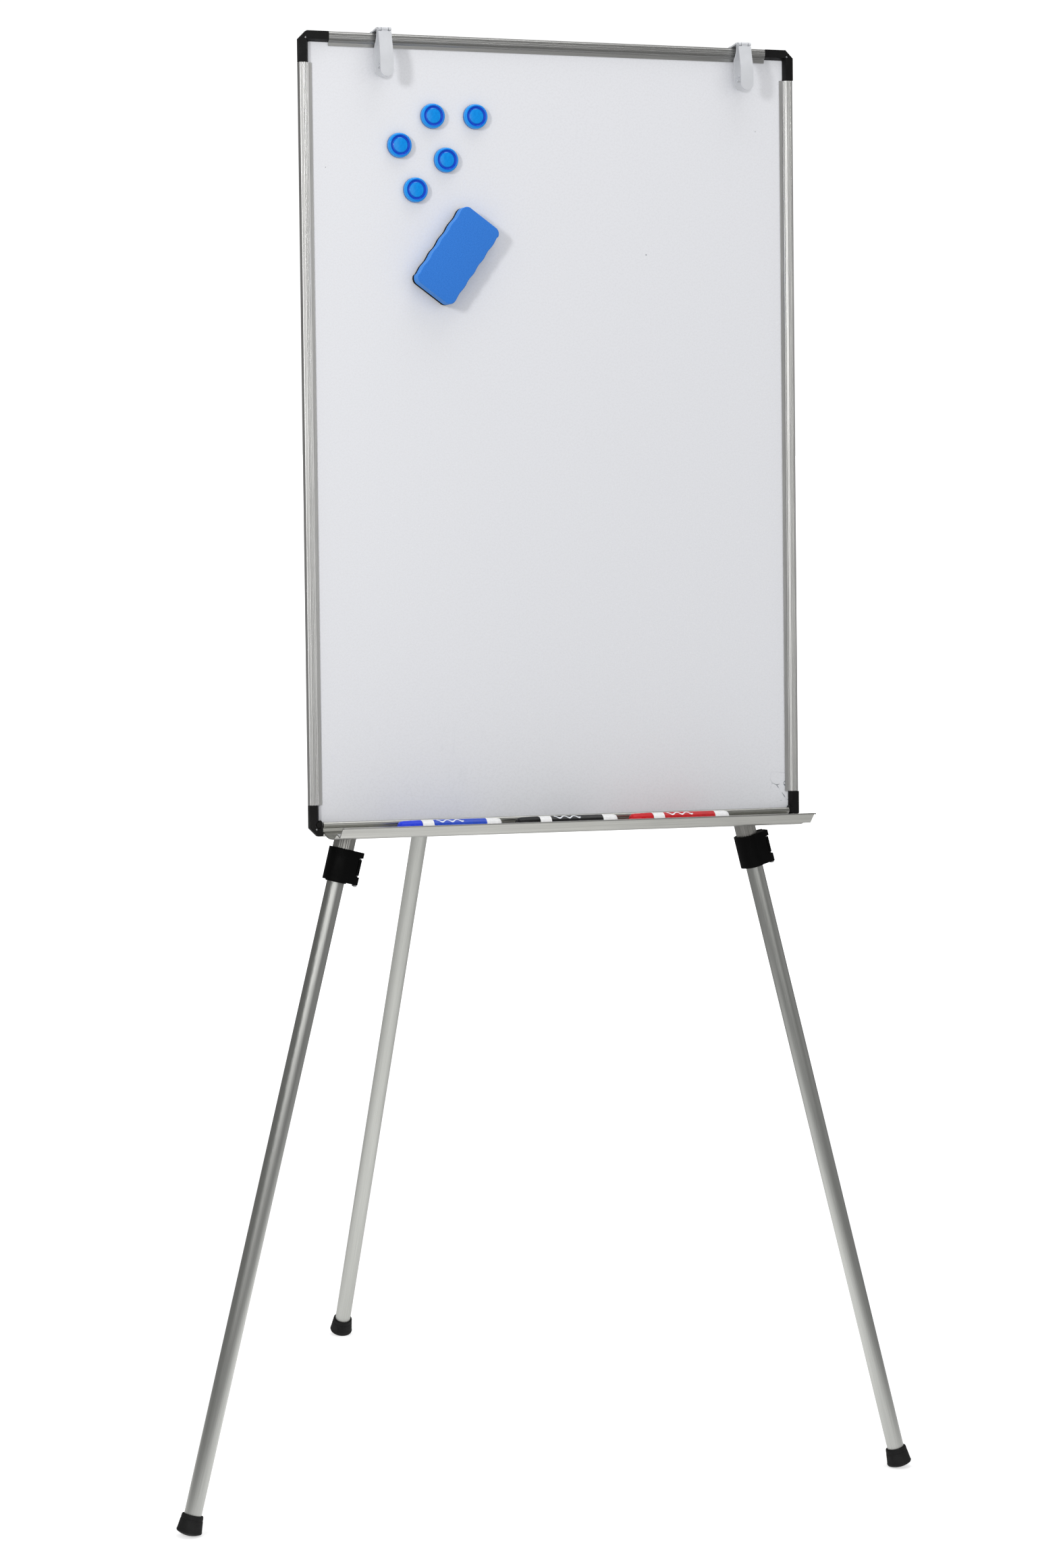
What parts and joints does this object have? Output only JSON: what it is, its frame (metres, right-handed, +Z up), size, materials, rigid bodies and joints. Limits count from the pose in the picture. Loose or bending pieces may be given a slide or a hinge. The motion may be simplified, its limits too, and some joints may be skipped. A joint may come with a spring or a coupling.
{
  "type": "flipchart easel",
  "caption": "Free-standing flipchart easel: aluminium-framed whiteboard with pen tray, sliding paper hooks and three telescopic folding legs, with magnets, wiper and markers",
  "frame": {"origin": "on the floor, at the centre of the bounding box's base", "axes": "+Z up, -Y the writing side, +X to the right of someone facing the board"},
  "size_m": [0.9312, 0.9024, 1.7187],
  "materials": {
    "white_enamel": "glossy white magnetic dry-wipe enamel",
    "fibre_core": "raw fibreboard",
    "zinc_sheet": "plain zinc-coated steel sheet",
    "satin_aluminium": "satin anodised extrusion",
    "steel_pin": "bright steel",
    "black_plastic": "moulded black plastic",
    "black_rubber": "matt black rubber",
    "grey_plastic": "light grey moulded plastic",
    "magnet_blue": "clear blue plastic",
    "ferrite": "dark sintered ferrite",
    "foam_blue": "closed-cell blue foam",
    "black_felt": "dense black felt",
    "pen_white": "white plastic pen body",
    "cap_blue": "blue plastic",
    "cap_black": "black plastic",
    "cap_red": "red plastic"
  },
  "bodies": {
    "board": {"writing_surface": "white_enamel", "board_core": "fibre_core", "backing_sheet": "zinc_sheet", "frame_top": "satin_aluminium", "frame_bottom": "satin_aluminium", "frame_left": "satin_aluminium", "frame_right": "satin_aluminium", "corner_cap_bottom_left": "black_plastic", "corner_cap_bottom_right": "black_plastic", "corner_cap_top_left": "black_plastic", "corner_cap_top_right": "black_plastic", "marker_tray": "satin_aluminium", "head_bracket": "black_plastic", "pivot_pin_left": "steel_pin", "pivot_pin_right": "steel_pin", "pivot_pin_rear": "steel_pin", "leg_clip_left": "black_plastic", "leg_clip_right": "black_plastic"},
    "upper_leg_left": {"upper_tube_left": "satin_aluminium", "clamp_collar_left": "black_plastic", "clamp_pin_left": "steel_pin"},
    "lower_leg_left": {"lower_tube_left": "satin_aluminium", "foot_left": "black_rubber"},
    "lever_left": {"clamp_lever_left": "black_plastic"},
    "upper_leg_right": {"upper_tube_right": "satin_aluminium", "clamp_collar_right": "black_plastic", "clamp_pin_right": "steel_pin"},
    "lower_leg_right": {"lower_tube_right": "satin_aluminium", "foot_right": "black_rubber"},
    "lever_right": {"clamp_lever_right": "black_plastic"},
    "upper_leg_rear": {"upper_tube_rear": "satin_aluminium", "clamp_collar_rear": "black_plastic", "clamp_pin_rear": "steel_pin"},
    "lower_leg_rear": {"lower_tube_rear": "satin_aluminium", "foot_rear": "black_rubber"},
    "lever_rear": {"clamp_lever_rear": "black_plastic"},
    "hook_left": {"hook_base_left": "grey_plastic", "hook_pin_left": "steel_pin"},
    "hook_arm_left": {"hook_arm_left": "grey_plastic"},
    "hook_right": {"hook_base_right": "grey_plastic", "hook_pin_right": "steel_pin"},
    "hook_arm_right": {"hook_arm_right": "grey_plastic"},
    "magnet_1": {"magnet_cap_1": "magnet_blue", "magnet_disc_1": "ferrite"},
    "magnet_2": {"magnet_cap_2": "magnet_blue", "magnet_disc_2": "ferrite"},
    "magnet_3": {"magnet_cap_3": "magnet_blue", "magnet_disc_3": "ferrite"},
    "magnet_4": {"magnet_cap_4": "magnet_blue", "magnet_disc_4": "ferrite"},
    "magnet_5": {"magnet_cap_5": "magnet_blue", "magnet_disc_5": "ferrite"},
    "eraser": {"eraser_felt": "black_felt", "eraser_foam": "foam_blue"},
    "marker_blue": {"marker_barrel_blue": "pen_white"},
    "marker_cap_blue": {"marker_cap_blue": "cap_blue"},
    "marker_black": {"marker_barrel_black": "pen_white"},
    "marker_cap_black": {"marker_cap_black": "cap_black"},
    "marker_red": {"marker_barrel_red": "pen_white"},
    "marker_cap_red": {"marker_cap_red": "cap_red"}
  },
  "joints": [
    {"name": "leg_fold_left", "type": "hinge", "parent": "board", "child": "upper_leg_left", "pos_m": [-0.0425, -0.27532, 1.61728], "axis": [0, -0.9976, 0.0698], "range_deg": [0, 13.5]},
    {"name": "leg_slide_left", "type": "slide", "parent": "upper_leg_left", "child": "lower_leg_left", "axis": [0.2451, 0.0676, 0.9671], "range_m": [-0.03, 0.7]},
    {"name": "clamp_lever_left", "type": "hinge", "parent": "upper_leg_left", "child": "lever_left", "pos_m": [-0.23894, -0.34242, 0.75813], "axis": [-0.2451, -0.0676, -0.9671], "range_deg": [0, 100]},
    {"name": "leg_fold_right", "type": "hinge", "parent": "board", "child": "upper_leg_right", "pos_m": [0.0425, -0.27532, 1.61728], "axis": [0, 0.9976, -0.0698], "range_deg": [0, 13.5]},
    {"name": "leg_slide_right", "type": "slide", "parent": "upper_leg_right", "child": "lower_leg_right", "axis": [-0.2451, 0.0676, 0.9671], "range_m": [-0.03, 0.7]},
    {"name": "clamp_lever_right", "type": "hinge", "parent": "upper_leg_right", "child": "lever_right", "pos_m": [0.27927, -0.34171, 0.7683], "axis": [0.2451, -0.0676, -0.9671], "range_deg": [0, 100]},
    {"name": "leg_fold_rear", "type": "hinge", "parent": "board", "child": "upper_leg_rear", "pos_m": [0, -0.24907, 1.61996], "axis": [-1, 0, 0], "range_deg": [0, 26.5]},
    {"name": "leg_slide_rear", "type": "slide", "parent": "upper_leg_rear", "child": "lower_leg_rear", "axis": [0, -0.3917, 0.9201], "range_m": [-0.03, 0.7]},
    {"name": "clamp_lever_rear", "type": "hinge", "parent": "upper_leg_rear", "child": "lever_rear", "pos_m": [0.0208, 0.09059, 0.80422], "axis": [0, 0.3917, -0.9201], "range_deg": [0, 100]},
    {"name": "hook_slide_left", "type": "slide", "parent": "board", "child": "hook_left", "axis": [1, 0, 0], "range_m": [-0.05, 0.2]},
    {"name": "hook_flap_left", "type": "hinge", "parent": "hook_left", "child": "hook_arm_left", "pos_m": [-0.2089, -0.32171, 1.71656], "axis": [1, 0, 0], "range_deg": [-85, 16]},
    {"name": "hook_slide_right", "type": "slide", "parent": "board", "child": "hook_right", "axis": [1, 0, 0], "range_m": [-0.2, 0.02]},
    {"name": "hook_flap_right", "type": "hinge", "parent": "hook_right", "child": "hook_arm_right", "pos_m": [0.237, -0.32171, 1.71656], "axis": [1, 0, 0], "range_deg": [-85, 16]},
    {"name": "magnet_off_1", "type": "slide", "parent": "board", "child": "magnet_1", "axis": [0, -0.9976, 0.0698], "range_m": [0, 0.04]},
    {"name": "magnet_off_2", "type": "slide", "parent": "board", "child": "magnet_2", "axis": [0, -0.9976, 0.0698], "range_m": [0, 0.04]},
    {"name": "magnet_off_3", "type": "slide", "parent": "board", "child": "magnet_3", "axis": [0, -0.9976, 0.0698], "range_m": [0, 0.04]},
    {"name": "magnet_off_4", "type": "slide", "parent": "board", "child": "magnet_4", "axis": [0, -0.9976, 0.0698], "range_m": [0, 0.04]},
    {"name": "magnet_off_5", "type": "slide", "parent": "board", "child": "magnet_5", "axis": [0, -0.9976, 0.0698], "range_m": [0, 0.04]},
    {"name": "eraser_off", "type": "slide", "parent": "board", "child": "eraser", "axis": [0, -0.9976, 0.0698], "range_m": [0, 0.06]},
    {"name": "marker_lift_blue", "type": "slide", "parent": "board", "child": "marker_blue", "axis": [0, 0.0698, 0.9976], "range_m": [0, 0.08]},
    {"name": "marker_cap_pull_blue", "type": "slide", "parent": "marker_blue", "child": "marker_cap_blue", "axis": [-1, 0, 0], "range_m": [0, 0.03]},
    {"name": "marker_lift_black", "type": "slide", "parent": "board", "child": "marker_black", "axis": [0, 0.0698, 0.9976], "range_m": [0, 0.08]},
    {"name": "marker_cap_pull_black", "type": "slide", "parent": "marker_black", "child": "marker_cap_black", "axis": [-1, 0, 0], "range_m": [0, 0.013]},
    {"name": "marker_lift_red", "type": "slide", "parent": "board", "child": "marker_red", "axis": [0, 0.0698, 0.9976], "range_m": [0, 0.08]},
    {"name": "marker_cap_pull_red", "type": "slide", "parent": "marker_red", "child": "marker_cap_red", "axis": [-1, 0, 0], "range_m": [0, 0.012]}
  ]
}
